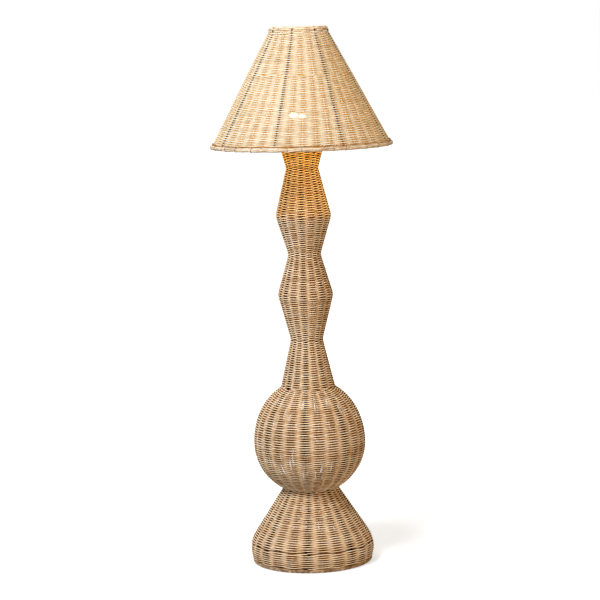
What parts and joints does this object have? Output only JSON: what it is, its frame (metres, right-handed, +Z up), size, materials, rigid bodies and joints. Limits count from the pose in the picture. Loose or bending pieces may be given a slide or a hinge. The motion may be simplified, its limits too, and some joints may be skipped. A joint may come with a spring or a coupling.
{
  "type": "rattan floor lamp",
  "caption": "Floor lamp with a woven rattan body of flared foot, round globe and zigzag column, under a woven cone shade on a harp.",
  "frame": {"origin": "centre of the foot's felt pad on the floor, under the pole", "axes": "+Z up along the pole, -Y towards the front with the switch key, +X to the right"},
  "size_m": [0.5062, 0.5062, 1.5],
  "materials": {
    "body_rattan": "woven natural rattan, matt",
    "body_cane": "wrapped rattan, satin",
    "shade_rattan": "woven pale rattan, matt",
    "shade_cane": "wrapped pale rattan, satin",
    "dark_wire": "dark brown paint on wire",
    "steel": "plain steel",
    "bulb_cap": "bright",
    "iron": "black paint on iron",
    "brass": "satin brass",
    "felt": "dark felt",
    "black_plastic": "matt black",
    "card": "insulating card",
    "bulb_glass": "frosted, lit"
  },
  "bodies": {
    "stand": {"felt_pad": "felt", "base_weight": "iron", "base_washer": "steel", "base_nut": "steel", "base_nipple": "steel", "pole_lower": "steel", "pole_upper": "steel", "pole_joint": "steel", "top_nipple": "steel", "top_nut": "brass", "body_rib_1": "dark_wire", "body_rib_2": "dark_wire", "body_rib_3": "dark_wire", "body_rib_4": "dark_wire", "body_rib_5": "dark_wire", "body_rib_6": "dark_wire", "body_rib_7": "dark_wire", "body_rib_8": "dark_wire", "foot_ring": "dark_wire", "shoulder_ring": "dark_wire", "neck_ring": "dark_wire", "globe_top_ring": "dark_wire", "mouth_ring": "dark_wire", "waist_ring_1": "dark_wire", "waist_ring_2": "dark_wire", "waist_ring_3": "dark_wire", "swell_ring_1": "dark_wire", "swell_ring_2": "dark_wire", "low_spider": "dark_wire", "top_spider": "dark_wire", "foot_weave": "body_rattan", "foot_border": "body_cane", "globe_weave": "body_rattan", "column_weave": "body_rattan", "collar_weave": "body_rattan", "column_border": "body_cane", "cord_inlet": "black_plastic", "harp_saddle": "brass", "socket_cap": "brass", "socket_shell": "brass", "socket_molding": "black_plastic", "socket_liner": "card", "screw_shell": "brass", "centre_contact": "brass"},
    "switch": {"switch_key": "black_plastic"},
    "bulb": {"bulb_cap": "bulb_cap", "bulb_glass": "bulb_glass"},
    "harp": {"harp": "brass"},
    "ferrule_left": {"ferrule_left": "brass"},
    "ferrule_right": {"ferrule_right": "brass"},
    "stud": {"harp_stud": "brass"},
    "shade": {"shade_frame": "dark_wire", "shade_low_ring": "dark_wire", "shade_spider": "dark_wire", "shade_weave": "shade_rattan", "shade_rim": "shade_cane", "shade_top_band": "shade_cane"},
    "finial": {"finial": "brass"}
  },
  "joints": [
    {"name": "key_turn", "type": "hinge", "parent": "stand", "child": "switch", "pos_m": [0, -0.03, 1.1704], "axis": [0, -1, 0], "continuous": true},
    {"name": "bulb_out", "type": "slide", "parent": "stand", "child": "bulb", "axis": [0, 0, 1], "range_m": [0, 0.028]},
    {"name": "harp_lift", "type": "slide", "parent": "stand", "child": "harp", "axis": [0, 0, 1], "range_m": [0, 0.03]},
    {"name": "ferrule_left_up", "type": "slide", "parent": "harp", "child": "ferrule_left", "axis": [0, 0, 1], "range_m": [0, 0.015]},
    {"name": "ferrule_right_up", "type": "slide", "parent": "harp", "child": "ferrule_right", "axis": [0, 0, 1], "range_m": [0, 0.015]},
    {"name": "shade_turn", "type": "hinge", "parent": "harp", "child": "stud", "pos_m": [0, 0, 1.452], "axis": [0, 0, 1], "continuous": true},
    {"name": "shade_lift", "type": "slide", "parent": "stud", "child": "shade", "axis": [0, 0, 1], "range_m": [0, 0.31]},
    {"name": "finial_off", "type": "slide", "parent": "shade", "child": "finial", "axis": [0, 0, 1], "range_m": [0, 0.018]}
  ]
}
